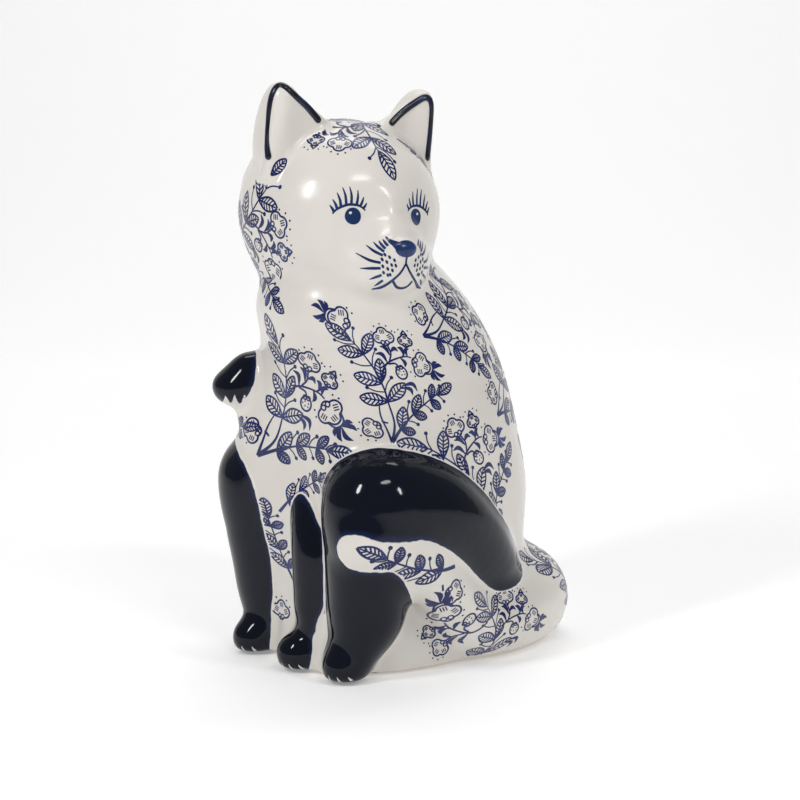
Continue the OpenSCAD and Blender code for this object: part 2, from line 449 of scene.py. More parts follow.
class Drawing:
    def __init__(self):
        self.points, self.faces, self.turn, self.at = [], [], 1, 0

    def place(self, at=0, turn=0.0, scale=1.0):
        """Later strokes are turned (degrees), scaled and moved to at."""
        self.at, self.turn = complex(at), scale * np.exp(1j * radians(turn))

    def put(self, points, faces):
        start = len(self.points)
        self.points += list(self.at + self.turn * np.asarray(points))
        self.faces += [[v + start for v in face] for face in faces]

    def stroke(self, line, widths=LINE):
        """A ribbon along line. widths is one number or one for each point."""
        line = np.asarray(line, complex)
        widths = np.broadcast_to(widths, line.shape).astype(float)
        run = np.concatenate([[0], np.cumsum(np.abs(np.diff(line)))])
        spots = np.linspace(0, run[-1], max(2, int(run[-1] / GRAIN) + 2))
        line = np.interp(spots, run, line.real) + 1j * np.interp(spots, run, line.imag)
        half = np.interp(spots, run, widths) / 2
        along = np.gradient(line)
        across = 1j * along / (np.abs(along) + TINY)
        n = len(line)
        rows = 1 + max(1, int(2 * half.max() / GRAIN))
        starts = [i for row in range(rows - 1) for i in range(row * n, row * n + n - 1)]
        self.put(np.concatenate([line + across * half * way for way in np.linspace(1, -1, rows)]),
                 [[i, i + n, i + n + 1, i + 1] for i in starts])

    def curve(self, points, widths=LINE):
        """A smooth stroke through a few points."""
        rows = [(complex(p).real, complex(p).imag) for p in points]
        if np.ndim(widths):
            rows = [row + (w,) for row, w in zip(rows, widths)]
        rows = curve_through(rows, 6)
        self.stroke(rows[:, 0] + 1j * rows[:, 1], rows[:, 2] if np.ndim(widths) else widths)

    def dot(self, centre, radius, squash=1.0, direction=1j, corners=12):
        turn = np.exp(2j * pi * np.arange(corners) / corners)
        shape = (turn.real * squash + 1j * turn.imag) * direction / 1j
        self.put(centre + radius * shape, [list(range(corners))])

    def disc(self, centre, radius, squash=1.0, rings=5, corners=40):
        """A filled round spot, in rings so that it can follow a curved surface."""
        turn = np.exp(2j * pi * np.arange(corners) / corners)
        shape = turn.real * squash + 1j * turn.imag
        points = np.concatenate([[0]] + [shape * (k + 1) / rings for k in range(rings)])
        after = [(i + 1) % corners for i in range(corners)]
        faces = [[0, 1 + i, 1 + after[i]] for i in range(corners)]
        for k in range(rings - 1):
            low, high = 1 + k * corners, 1 + (k + 1) * corners
            faces += [[low + i, high + i, high + after[i], low + after[i]] for i in range(corners)]
        self.put(centre + radius * points, faces)

    def ring(self, centre, radius, width=LINE * 0.8, squash=1.0, direction=1j):
        turn = np.exp(2j * pi * np.arange(25) / 24)
        self.stroke(centre + radius * (turn.real * squash + 1j * turn.imag) * direction / 1j, width)


def leaf(d, base, tip, fat=0.46):
    """An outlined leaf with a midrib and chevron veins."""
    base, tip = complex(base), complex(tip)
    along = tip - base

    def half(t):
        return fat * 0.5 * np.sin(pi * np.clip(t, 0, 1) ** 1.15) ** 0.75

    t = np.linspace(0, 1, 17)
    d.stroke(base + along * (t + 1j * half(t)))
    d.stroke(base + along * (t - 1j * half(t)))
    d.stroke([base, base + along * 0.93], [LINE, LINE * 0.7])
    for t in (0.16, 0.30, 0.44, 0.58, 0.72):
        for side in (1, -1):
            d.stroke(base + along * np.array([t, t + 0.14 + 1j * side * half(t + 0.14) * 0.95]), LINE * 0.8)


def stamen(d, base, tip):
    base, tip = complex(base), complex(tip)
    middle = (base + tip) / 2 + 0.08j * (tip - base)
    d.curve([base, middle, tip], LINE * 0.7)
    d.dot(tip, 0.85)


def comma(d, base, tip, bend=0.28):
    """A curved leaf, filled, that swells towards its tip."""
    base, tip = complex(base), complex(tip)
    middle = base + (tip - base) * (0.6 + 1j * bend)
    d.curve([base, middle, tip], [LINE * 0.5, LINE * 2.4, LINE * 0.3])


LOBES = ((-0.52 + 0j, 0.5), (0.0 + 0.40j, 0.52), (0.52 + 0j, 0.5), (0.0 - 0.30j, 0.46))


def petals(d, centre, up, size):
    """The scalloped outline of a blossom, its two base rings and the hatching on its petals."""
    turn = size * up / 1j
    ways = np.exp(2j * pi * np.arange(49) / 48)
    reach = np.zeros(len(ways))
    for lobe, radius in LOBES:
        ahead = (lobe * ways.conj()).real
        inside = ahead ** 2 - abs(lobe) ** 2 + radius ** 2
        reach = np.maximum(reach, np.where(inside > 0, ahead + np.sqrt(np.maximum(inside, 0)), 0))
    d.stroke(centre + turn * ways * reach)
    for x in (-0.21, 0.21):
        d.ring(centre + turn * (x - 0.46j), size * 0.18)
    for lobe, way in ((-0.6 + 0.03j, 160), (0.52j, 90), (0.6 + 0.03j, 20)):
        out = np.exp(1j * radians(way))
        for shift in (-0.17, 0, 0.17):
            middle = lobe + 1j * out * shift
            d.stroke(centre + turn * (middle + out * np.array([-0.2, 0.2])), LINE * 0.6)


def blossom(d, centre, way=90, size=4.9):
    """A blossom that opens towards way, with a row of dots over it."""
    up = np.exp(1j * radians(way))
    petals(d, complex(centre), up, size)
    for angle in (-62, -31, 0, 31, 62):
        reach = size * 1.24 * (1 - 0.001 * abs(angle))
        d.dot(complex(centre) + reach * up * np.exp(1j * radians(angle)), 0.42)


def bud(d, centre, way=90, size=3.9):
    """A small round blossom with a pointed cap and dots."""
    up = np.exp(1j * radians(way))
    centre = complex(centre)
    turn = size * up / 1j
    petals(d, centre, up, size * 0.9)
    d.curve([centre + turn * q for q in (-0.45 + 0.72j, -0.2 + 0.98j, 1.25j, 0.2 + 0.98j, 0.45 + 0.72j)])
    for angle in (-50, -25, 25, 50):
        d.dot(centre + size * 1.45 * up * np.exp(1j * radians(angle)), 0.38)


def pomegranate(d, centre, way=0, size=5.6):
    """A blossom whose far end is a beaded collar with a feathery crown."""
    up = np.exp(1j * radians(way))
    centre = complex(centre)
    turn = size * up / 1j
    petals(d, centre, up, size)
    d.curve([centre + turn * q for q in (-0.62 + 0.5j, -0.42 + 1.0j, 1.16j, 0.42 + 1.0j, 0.62 + 0.5j)])
    for x in (-0.28, 0, 0.28):
        d.dot(centre + turn * (x + (0.93 - abs(x) * 0.3) * 1j), 0.42)
    for angle, length in ((-68, 0.75), (-36, 0.95), (0, 1.1), (36, 0.95), (68, 0.75)):
        out = np.exp(1j * radians(90 + angle))
        start = centre + turn * (1.12j + 0.12 * out)
        comma(d, start, start + turn * out * length, bend=0.2 if angle > 0 else -0.2)
    for angle in (105, 128, -105, -128):
        d.dot(centre + size * 1.2 * up * np.exp(1j * radians(angle)), 0.42)


def berry(d, centre, way=-70, size=2.9):
    up = np.exp(1j * radians(way))
    centre = complex(centre)
    d.ring(centre, size, LINE, 0.88, up)
    for x in (-0.3, 0.3):
        d.ring(centre - up * size * (0.82 + 1j * x), size * 0.3)
    for spot in (-0.3 - 0.2j, 0.3 - 0.1j, -0.1 + 0.4j, 0.35 + 0.4j, 0.0 - 0.55j):
        d.dot(centre + size * spot * up, 0.36)


def leafy_branch(d):
    """The side branch of a cluster: pairs of leaves with stamens between them, up to an end leaf."""
    d.curve([0, 3.1 + 5.8j, 6.3 + 10.3j, 11.2 + 15.6j, 16.5 + 20j, 21.9 + 24.1j, 23.7 + 25.4j],
            [1.5, 1.3, 0.9, 0.8, 0.7, 0.6, 0.5])
    for base, left, right in ((4 + 6.3j, 4.9 + 17j, 10.3 + 5.4j), (9.4 + 14.3j, 12.9 + 23.2j, 16 + 12.9j),
                              (18.3 + 21.4j, 20 + 28.6j, 23.2 + 17.4j)):
        leaf(d, base, left)
        leaf(d, base, right, 0.6)
    for base, left, right in ((7.1 + 10.7j, 7.6 + 19.6j, 11.6 + 9.4j),
                              (14.7 + 18.8j, 16 + 25.2j, 18.6 + 16.2j),
                              (21.5 + 23.8j, 23.6 + 28j, 25.4 + 21j)):
        stamen(d, base, left)
        stamen(d, base, right)
    leaf(d, 22.3 + 23.9j, 30.4 + 29.4j)


def leafy_stem(d):
    """The main stem of a cluster: a double foot, three pairs of leaves and stamens between them."""
    d.curve([0, 0.9 + 9j, -1.8 + 18.8j], [1.5, 0.9, 0.7])
    d.curve([0, -2.3 + 6j, -4.8 + 12j, -5.6 + 18j], [1.3, 0.8, 0.7, 0.5])
    d.curve([-1.8 + 18.8j, -3.6 + 25.4j, -6.7 + 32.6j, -11.6 + 39.3j, -15.6 + 43.8j, -20 + 47j],
            [0.9, 0.8, 0.8, 0.7, 0.6, 0.5])
    for base, tip in ((-1.8 + 18.8j, -13.6 + 19.4j), (-1.8 + 18.8j, 6.3 + 27.9j), (-3.9 + 27j, -16 + 29j),
                      (-4 + 27.6j, -4.4 + 38j), (-11.4 + 39j, -23 + 39.3j), (-11.4 + 39j, -6.8 + 49j)):
        leaf(d, base, tip)
    for base, tip in ((-3 + 23j, -10.5 + 24.1j), (-3 + 23j, 0.4 + 30j), (-7.6 + 34.4j, -16.8 + 34.6j),
                      (-7.6 + 34.4j, -5.6 + 42j), (-15 + 43j, -24 + 43.6j), (-15 + 43.4j, -14.6 + 50.4j)):
        stamen(d, base, tip)
    comma(d, 4.9 + 26.6j, 12 + 24.6j, 0.35)
    comma(d, 4.6 + 25.8j, 9.6 + 22.6j, 0.3)


def end_leaf(d):
    """The leaf at the end of a cluster's main stem."""
    leaf(d, -16.5 + 44.4j, -27.4 + 50.6j)


def flowering_branch(d):
    """A cluster's flowering branch: a blossom, a bud, a berry and a pomegranate."""
    d.curve([-4 + 27.5j, -2.7 + 33.5j, -0.4 + 36.6j, 3.6 + 38.8j, 8 + 40.2j, 11.2 + 40j],
            [0.9, 0.9, 0.9, 0.8, 0.7, 0.6])
    d.curve([0.4 + 37.5j, 1.4 + 41j, 0.4 + 44.2j], LINE)
    d.curve([7 + 40.2j, 8 + 42j, 9 + 43.8j], LINE)
    d.curve([-0.4 + 36j, 2.7 + 36.6j, 4.2 + 35.4j], LINE)
    blossom(d, -0.9 + 48j, 98)
    bud(d, 9.4 + 47.2j, 88)
    berry(d, 5.4 + 32.6j)
    pomegranate(d, 15.4 + 37.2j, -17)
    for base, tip, bend in ((-0.6 + 36.4j, -6 + 39.9j, -0.3), (0.8 + 40j, -3.6 + 43.6j, -0.25),
                            (1.3 + 41.6j, 5 + 42.2j, 0.4), (7.4 + 41j, 4.8 + 44j, -0.3),
                            (9.4 + 40.4j, 10.6 + 44j, 0.4), (5.6 + 39.4j, 7.4 + 35.4j, 0.25)):
        comma(d, base, tip, bend)


def side_blossom(d):
    """The blossom low on a cluster's main stem."""
    d.curve([-1.8 + 8.9j, -4.4 + 9.6j], LINE)
    blossom(d, -8 + 6j, 222)


PARTS = {"branch": leafy_branch, "stem": leafy_stem, "end": end_leaf, "flowers": flowering_branch,
         "side": side_blossom}
ALL = tuple(PARTS)
PARTS["leaf"] = lambda d: leaf(d, 0, 10)
PARTS["fruit"] = lambda d: pomegranate(d, 0, 90)
PARTS["flower"] = lambda d: blossom(d, 0, 90)

# Clusters on the body: across the unrolled body and height (mm), turn (degrees), scale, parts
BODY_CLUSTERS = [
    # chest and the left side
    (44.5 + 103.5j, -8, 0.94, ALL), (-17 + 92j, -35, 1.12, ALL), (70 + 148j, -75, 0.98, ALL),
    (87 + 59j, 14, 1.05, ALL), (103 + 110j, -57, 1.0, ALL), (-34 + 174j, -67, 1.0, ("branch",)),
    (-9 + 68j, -8, 0.85, ("branch",)), (-3.5 + 37j, 63, 0.9, ("branch",)),
    (-11.5 + 22.5j, 0, 1.05, ("flower",)), (32.5 + 155.5j, 64, 1.05, ("fruit",)),
    # tail and base
    (86 - 12j, -11, 0.88, ("stem", "end", "flowers")),
    (97 + 44j, 134, 1.0, ("flowers",)), (141 + 2j, 0, 0.82, ALL), (-136 + 2j, 4, 0.84, ALL),
    (-84 + 2j, -4, 0.84, ALL),
    # back and the right side
    (144 + 53j, -4, 0.84, ALL), (-131 + 58j, 4, 0.88, ALL), (-94 + 104j, -8, 0.84, ALL),
    (-156 + 108j, 0, 0.84, ALL), (-52 + 91j, -22, 0.88, ("branch", "stem", "end"))]

# On the tail where it lies along the left side: towards the back, and up
TAIL_CLUSTERS = [(-24.5 + 50.8j, 120, 1.12, ("branch", "side"))]

# Clusters on the sides and back of the head: across and up the unrolled head
HEAD_CLUSTERS = [
    (-107 - 16.5j, -80, 1.18, ("branch", "stem", "flowers", "side")), (52 + 16j, 96, 0.85, ("branch",)),
    (70 - 24j, -6, 0.8, ALL), (120 - 22j, 6, 0.78, ALL), (-124 - 14j, 62, 0.7, ("branch",))]

# Clusters on top of the head: to its right and ahead
CROWN_CLUSTERS = [(-21 - 11j, -44, 1.2, ("stem", "end", "flowers", "side")),
                  (8 - 16j, 150, 0.95, ("branch",))]

# At the foot of the right ear, seen squarely on to that ear
EAR_CLUSTERS = [(-41.6 + 15j, 44, 1.0, ("leaf",))]


def draw_clusters(clusters):
    d = Drawing()
    for at, turn, scale, parts in clusters:
        d.place(at, turn, scale)
        for part in parts:
            PARTS[part](d)
    return d


# An eye, outwards and up from the middle of its iris
EYELID = [(7.8, 0.4), (6.1, 2.5), (2.5, 4.3), (-0.6, 4.5), (-3, 3.9), (-5, 2.2)]
LASH_ROOTS = [7.3 + 1.4j, 6.1 + 2.4j, 4.7 + 3.4j, 2.7 + 4.2j, 0.7 + 4.5j, -1.4 + 4.4j, -2.9 + 4j, -4.1 + 3j]
LASH_TIPS = [8.7 + 4j, 7.6 + 6.4j, 5.9 + 9.2j, 3.7 + 11.4j, 1.1 + 11.8j, -1.9 + 10.5j, -4.2 + 7.8j,
             -5.5 + 5.4j]
EYES = {LEFT: 12.8, RIGHT: -16.8}

# Whiskers and dots of one cheek, outwards from the middle of the mouth and up the face
WHISKERS = [(19.1 - 15.2j, 15.1 - 17.8j, 11 - 18.8j), (18.1 - 21.4j, 14.6 - 21.2j, 11 - 21j),
            (14.6 - 25.8j, 12.6 - 24.8j, 10.4 - 23.8j), (12.2 - 28.6j, 11 - 27.4j, 9.6 - 26j),
            (15.4 - 11.8j, 13.2 - 14j, 10 - 15.8j), (12.8 - 10.4j, 11.4 - 12.4j, 9.4 - 14.2j),
            (10.8 - 9.8j, 10 - 11.4j, 8.8 - 13j), (9.2 - 9.2j, 8.6 - 10.4j, 7.8 - 11.8j)]
CHEEK_DOTS = [9.2 - 15.4j, 7.4 - 16.4j, 5.4 - 17.6j, 10.4 - 17.4j, 8.6 - 18.4j, 6.6 - 19.6j, 4.8 - 19.8j,
              10.2 - 20.2j, 8.2 - 21.2j, 6.2 - 21.8j, 9.8 - 22.8j, 8 - 23.8j, 7 - 23.6j]
MOUTH = 1.8            # the mouth is painted a little to the cat's left


def to_side(points, side, middle=0.0):
    """Points given outwards from middle, on the cat's left or right."""
    return [complex(middle + side * p.real, p.imag) for p in map(complex, points)]


def draw_face():
    """Eyelids, lashes, whiskers, cheek dots, nose bridge, muzzle lines and mouth, seen from ahead."""
    d = Drawing()
    for side, eye in EYES.items():
        d.curve(to_side([complex(*row) for row in EYELID], side, eye), [0.5, 0.9, 1.1, 1.1, 0.9, 0.5])
        for root, tip in zip(to_side(LASH_ROOTS, side, eye), to_side(LASH_TIPS, side, eye)):
            middle = (root + tip) / 2 + 0.04j * side * (tip - root)
            d.curve([root, middle, tip], [1.1, 0.95, 0.35])
        for whisker in WHISKERS:
            d.curve(to_side(whisker, side, MOUTH), [0.35, 1.15, 1.1])
        for spot in to_side(CHEEK_DOTS, side, MOUTH):
            d.dot(spot, 0.88, 0.62, np.exp(1j * radians(90 - side * 25)))
        d.curve(to_side([0.1 - 19.2j, 2.5 - 22.8j, 5.9 - 26.2j, 9.2 - 28.9j, 12.6 - 30j], side, MOUTH),
                [1.0, 1.05, 1.15, 1.35, 0.6])
    d.curve([-6.2 - 8j, -4.8 - 9.8j, -2.4 - 11.8j], [0.5, 1.8, 3.8])
    d.stroke([MOUTH - 15.5j, MOUTH - 19.5j], 1.05)
    d.curve(to_side([-4.9 - 26.4j, -2.7 - 28.7j, -29.4j, 2.7 - 28.7j, 4.9 - 26.4j], LEFT, MOUTH - 0.4), 1.1)
    return d


def draw_irises():
    """Both irises and the tip of the nose."""
    d = Drawing()
    for eye in EYES.values():
        d.disc(eye - 0.2j, 3.5, 0.92)
    d.disc(1.5 - 12.8j, 3.5, 1.5)
    return d


# Painted highlights: a white dot in each eye, a little outwards and above the middle of its iris.
def draw_glints():
    d = Drawing()
    for side, eye in EYES.items():
        d.dot(eye + 1.0 * side + 1.1j, 0.6)
    return d


# The thick line round each ear's front, from its outer foot over its tip to its inner foot: outwards and up
EAR_EDGES = {
    LEFT: [(35.2, 22.3), (35.5, 32), (35.4, 41), (34.8, 47), (33.4, 49.8), (31, 50.3),
           (27, 48), (20.6, 43.2), (14.5, 37.5)],
    RIGHT: [(43, 20.9), (44.3, 27.6), (44.3, 36), (43.6, 43.5), (42.2, 49), (39.6, 52.4), (35.8, 52),
            (29.2, 47.2), (24.4, 43.5), (18.2, 37.4)]}


def ear_edge_rows(side):
    return [(side * x, z) for x, z in EAR_EDGES[side]]


# Each foot's toe gaps: across the front of the cat
TOE_GAPS = {"left_hind_leg": (26.5, 31.0, 35.2, 38.6), "right_hind_leg": (-38.5, -34.5, -30.2, -26),
            "left_foreleg": (-1.5, 2.6, 6.6, 10)}


def draw_claws(gaps):
    d = Drawing()
    for x in gaps:
        d.curve([x + 1.3j, x + 0.15 + 2.9j, x + 4.6j], [1.5, 0.8, 0.15])
    return d


# ---------------------------------------------------------------- charts

BODY_ROUND = 52        # radius that the body is unrolled at
HEAD_ROUND = 45        # radius that the head is unrolled at
FAR = 300              # length of a ray


def body_rays(spots):
    rows = np.array([(row[0], row[1]) for row in BODY_SECTIONS])
    angle = spots.real / BODY_ROUND
    middle = np.stack([0 * angle, np.interp(spots.imag, rows[:, 0], rows[:, 1]), spots.imag], 1)
    out = np.stack([np.sin(angle), -np.cos(angle), 0 * angle], 1)
    return middle + 130 * out, -out


def tail_rays(spots):
    start = np.stack([0 * spots.real + 150, spots.real, spots.imag], 1)
    return start, np.broadcast_to(np.array((-1.0, 0, 0)), start.shape)


def head_rays(spots):
    yaw, pitch = spots.real / HEAD_ROUND, spots.imag / HEAD_ROUND
    out = np.stack([np.sin(yaw) * np.cos(pitch), np.cos(yaw) * np.cos(pitch), np.sin(pitch)], 1) @ HEAD_AXES
    return HEAD_AT + 100 * out, -out


def crown_rays(spots):
    """Distances and directions are kept true from the very top of the head."""
    angle = np.abs(spots) / HEAD_ROUND
    flat = spots / (np.abs(spots) + TINY)
    out = np.stack([-flat.real * np.sin(angle), flat.imag * np.sin(angle), np.cos(angle)], 1) @ HEAD_AXES
    return HEAD_AT + 100 * out, -out


def face_rays(spots):
    start = HEAD_AT + np.stack([spots.real, 0 * spots.real + 110, spots.imag], 1) @ HEAD_AXES
    return start, np.broadcast_to(-HEAD_AXES[1], start.shape)


def right_ear_rays(spots):
    """Rays that meet the right ear's front edges squarely, from ahead and a little to its side."""
    out = 0.84 * HEAD_AXES[1] - 0.54 * HEAD_AXES[0]
    start = HEAD_AT + np.stack([spots.real, 0 * spots.real + 15, spots.imag], 1) @ HEAD_AXES
    return start + 110 * out, np.broadcast_to(-out, start.shape)


def front_rays(spots):
    start = np.stack([spots.real, 0 * spots.real - 150, spots.imag], 1)
    return start, np.broadcast_to(np.array((0, 1.0, 0)), start.shape)


def running_mean(rows, reach):
    padded = np.pad(rows, ((reach, reach), (0, 0)), "edge")
    return sum(padded[k:k + len(rows)] for k in range(2 * reach + 1)) / (2 * reach + 1)


LEAST_FACING = 0.12    # of a ray and the surface it meets, so that drawings don't smear
SEAM_OVERLAP = 0.6     # how far a drawing may run on past the seam with another piece
LONGEST_STEP = 3.5     # across one face of a film
BEAD_FLATNESS = 0.55   # height of a bead over half its width
RIM_JUMP = 4           # a ray this much longer than its neighbours has slipped past the rim


class Skin:
    """The cat's whole surface, for laying drawings on."""

    def __init__(self, places, normals, quads, each):
        self.places, self.normals, self.quads, self.each = places, normals, quads, each
        self.tree = BVHTree.FromPolygons(places.tolist(), quads.tolist())

    def lay(self, name, drawing, rays, look, slot, allowed, lift=0.06, above=3.2):
        """A film over the surface, where the pieces in allowed are outermost, above a height.

        Faces are left out where the surface turns away, or where they would bridge a gap.
        """
        spots = np.array(drawing.points)
        starts, ways = rays(spots)
        hits = [self.tree.ray_cast(Vector(a), Vector(b), FAR) for a, b in zip(starts, ways)]
        found = np.array([hit[0] is not None for hit in hits])
        places = np.array([hit[0] if hit[0] is not None else (0, 0, 0) for hit in hits])
        face = np.array([hit[2] if hit[2] is not None else 0 for hit in hits])
        corners = self.quads[face]
        weight = 1 / (((self.places[corners] - places[:, None]) ** 2).sum(2) + 0.02)
        weight /= weight.sum(1)[:, None]
        normals = (self.normals[corners] * weight[:, :, None]).sum(1)
        normals /= np.linalg.norm(normals, axis=1)[:, None]
        each = (self.each[:, corners] * weight).sum(2)
        names = list(PIECES)
        mine = each[[names.index(n) for n in allowed]].min(0)
        rest = [i for i, n in enumerate(names) if n not in allowed]
        keep = found & ((normals * -ways).sum(1) > LEAST_FACING) & (places[:, 2] > above)
        if rest:
            keep &= mine < each[rest].min(0) + SEAM_OVERLAP
        faces = [f for f in drawing.faces if keep[f].all()]
        spread = [np.abs(np.diff(places[f], axis=0)).max() for f in faces]
        faces = [f for f, s in zip(faces, spread) if s < LONGEST_STEP]
        used, renumbered = np.unique(np.concatenate([np.array(f) for f in faces]), return_inverse=True)
        faces = [list(map(int, f)) for f in np.split(renumbered, np.cumsum([len(f) for f in faces])[:-1])]
        places, normals = places[used], normals[used]
        first = np.array([f[:3] for f in faces])
        ahead, aside = places[first[:, 1]] - places[first[:, 0]], places[first[:, 2]] - places[first[:, 0]]
        facing = (np.cross(ahead, aside) * normals[first[:, 0]]).sum(1) > 0
        faces = [f if ok else f[::-1] for f, ok in zip(faces, facing)]
        film = new_mesh(name, places + normals * lift, faces, [tuple(normals[v]) for f in faces for v in f])
        dress(film, look)
        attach(film, "root")
        return film


    def bead(self, name, rows, rays, width, look, slot, corners=12):
        """A raised line of thick glaze through rows, half sunk in the surface, with rounded ends."""
        rows = curve_through(rows, 12)
        starts, ways = rays(rows[:, 0] + 1j * rows[:, 1])
        depth = np.array([self.tree.ray_cast(Vector(a), Vector(b), FAR)[3] or FAR
                          for a, b in zip(starts, ways)])
        # a ray that slips past the rim takes its depth from its neighbours
        padded = np.pad(depth, 6, "edge")
        nearest = np.min([padded[k:k + len(depth)] for k in range(13)], 0)
        good = np.flatnonzero(depth < nearest + RIM_JUMP)
        depth = np.interp(np.arange(len(depth)), good, depth[good])
        touch = [self.tree.find_nearest(Vector(p)) for p in starts + ways * depth[:, None]]
        path = running_mean(np.array([t[0] for t in touch]), 3)
        up = running_mean(np.array([t[1] for t in touch]), 6)
        up *= np.sign((up * -ways).sum(1))[:, None]
        along = np.gradient(path, axis=0)
        along /= np.linalg.norm(along, axis=1)[:, None]
        up -= along * (up * along).sum(1)[:, None]
        up /= np.linalg.norm(up, axis=1)[:, None]
        side = np.cross(along, up)
        run = np.concatenate([[0], np.cumsum(np.linalg.norm(np.diff(path, axis=0), axis=1))])
        end = np.clip(1 - np.minimum(run, run[-1] - run) / (width / 2), 0, 0.98)
        radius = (width / 2 * np.sqrt(1 - end ** 2))[:, None]
        turn = 2 * pi * np.arange(corners) / corners
        places = np.concatenate([path + radius * (side * np.cos(a) + up * BEAD_FLATNESS * np.sin(a))
                                 for a in turn])
        places = places.reshape(corners, len(path), 3).transpose(1, 0, 2).reshape(-1, 3)
        after = [(j + 1) % corners for j in range(corners)]
        faces = [[i + j, i + corners + j, i + corners + after[j], i + after[j]]
                 for i in range(0, corners * (len(path) - 1), corners) for j in range(corners)]
        last = corners * (len(path) - 1)
        faces += [list(range(corners)), list(range(last + corners - 1, last - 1, -1))]
        made = new_mesh(name, places, faces)
        dress(made, look)
        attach(made, "root")
        return made


# ---------------------------------------------------------------- materials

def node(tree, kind, **values):
    """A new node, with its inputs and its own settings given by name."""
    made = tree.nodes.new(kind)
    for key, value in values.items():
        if key in made.inputs:
            made.inputs[key].default_value = value
        else:
            setattr(made, key, value)
    return made


def glaze(name, roughness=0.23):
    """A gloss glaze with faint waviness: its material, tree, shader and texture coordinates."""
    material = bpy.data.materials.new(name)
    material.use_nodes = True
    tree = material.node_tree
    shader = tree.nodes["Principled BSDF"]
    shader.inputs["Roughness"].default_value = roughness
    shader.inputs["IOR"].default_value = 1.42
    shader.inputs["Coat Weight"].default_value = 0.08
    shader.inputs["Coat Roughness"].default_value = 0.1
    where = node(tree, "ShaderNodeTexCoord")
    wave = node(tree, "ShaderNodeTexNoise", Scale=55.0, Detail=2.0)
    fine = node(tree, "ShaderNodeTexNoise", Scale=420.0, Detail=1.0)
    both = node(tree, "ShaderNodeMath", operation="MULTIPLY_ADD")
    both.inputs[1].default_value = 0.12
    bump = node(tree, "ShaderNodeBump", Strength=0.08, Distance=0.002)
    tree.links.new(where.outputs["Object"], wave.inputs["Vector"])
    tree.links.new(where.outputs["Object"], fine.inputs["Vector"])
    tree.links.new(fine.outputs["Fac"], both.inputs[0])
    tree.links.new(wave.outputs["Fac"], both.inputs[2])
    tree.links.new(both.outputs["Value"], bump.inputs["Height"])
    tree.links.new(bump.outputs["Normal"], shader.inputs["Normal"])
    return material, tree, shader, where


WHITE = (0.76, 0.725, 0.675, 1)
CREAM = (0.70, 0.665, 0.615, 1)
NAVY = (0.0025, 0.004, 0.011, 1)
RUNNY_BLUE = (0.008, 0.016, 0.065, 1)
PATTERN_BLUE = (0.008, 0.016, 0.098, 1)
FADED_BLUE = (0.028, 0.045, 0.17, 1)
FACE_BLUE = (0.012, 0.045, 0.17, 1)
FACE_BLUE_DEEP = (0.008, 0.026, 0.10, 1)
BISQUE = (0.55, 0.46, 0.36, 1)


def ramp(tree, stops):
    """A colour ramp through stops (position, colour)."""
    made = node(tree, "ShaderNodeValToRGB")
    elements = made.color_ramp.elements
    while len(elements) < len(stops):
        elements.new(0.5)
    for element, (position, colour) in zip(elements, stops):
        element.position = position
        element.color = colour
    return made


def white_glaze(name="glaze_white"):
    """White glaze: a touch creamier in broad patches, and bare clay at the foot."""
    material, tree, shader, where = glaze(name)
    patches = node(tree, "ShaderNodeTexNoise", Scale=14.0, Detail=3.0)
    tint = ramp(tree, [(0.35, CREAM), (0.62, WHITE)])
    place = node(tree, "ShaderNodeSeparateXYZ")
    foot = node(tree, "ShaderNodeMapRange", **{"From Min": 0.0013, "From Max": 0.0019})
    mix = node(tree, "ShaderNodeMix", data_type="RGBA")
    tree.links.new(where.outputs["Object"], patches.inputs["Vector"])
    tree.links.new(patches.outputs["Fac"], tint.inputs["Fac"])
    tree.links.new(where.outputs["Object"], place.inputs["Vector"])
    tree.links.new(place.outputs["Z"], foot.inputs["Value"])
    tree.links.new(foot.outputs["Result"], mix.inputs["Factor"])
    mix.inputs["A"].default_value = BISQUE
    tree.links.new(tint.outputs["Color"], mix.inputs["B"])
    tree.links.new(mix.outputs["Result"], shader.inputs["Base Color"])
    return material


def navy_glaze(name="glaze_navy"):
    """Navy glaze that thins to blue at its brushed edge, with white glaze beyond it."""
    material, tree, shader, where = glaze(name, roughness=0.08)
    shader.inputs["IOR"].default_value = 1.34
    shader.inputs["Coat Weight"].default_value = 0.0
    paint = node(tree, "ShaderNodeAttribute", attribute_name="paint")
    wobble = node(tree, "ShaderNodeTexNoise", Scale=160.0, Detail=2.0)
    scaled = node(tree, "ShaderNodeMath", operation="MULTIPLY_ADD")
    scaled.inputs[1].default_value = 1.2
    edge = node(tree, "ShaderNodeMapRange", **{"From Min": 0.0, "From Max": 8.0})
    colour = ramp(tree, [(0.19, WHITE), (0.22, RUNNY_BLUE), (0.42, NAVY)])
    tree.links.new(where.outputs["Object"], wobble.inputs["Vector"])
    tree.links.new(wobble.outputs["Fac"], scaled.inputs[0])
    tree.links.new(paint.outputs["Fac"], scaled.inputs[2])
    tree.links.new(scaled.outputs["Value"], edge.inputs["Value"])
    tree.links.new(edge.outputs["Result"], colour.inputs["Fac"])
    tree.links.new(colour.outputs["Color"], shader.inputs["Base Color"])
    return material


def ink(name, colour, faded, roughness=0.23):
    """A transfer print under the glaze: its colour thins here and there."""
    material, tree, shader, where = glaze(name, roughness)
    patches = node(tree, "ShaderNodeTexNoise", Scale=120.0, Detail=3.0)
    tint = ramp(tree, [(0.3, faded), (0.52, colour)])
    tree.links.new(where.outputs["Object"], patches.inputs["Vector"])
    tree.links.new(patches.outputs["Fac"], tint.inputs["Fac"])
    tree.links.new(tint.outputs["Color"], shader.inputs["Base Color"])
    return material


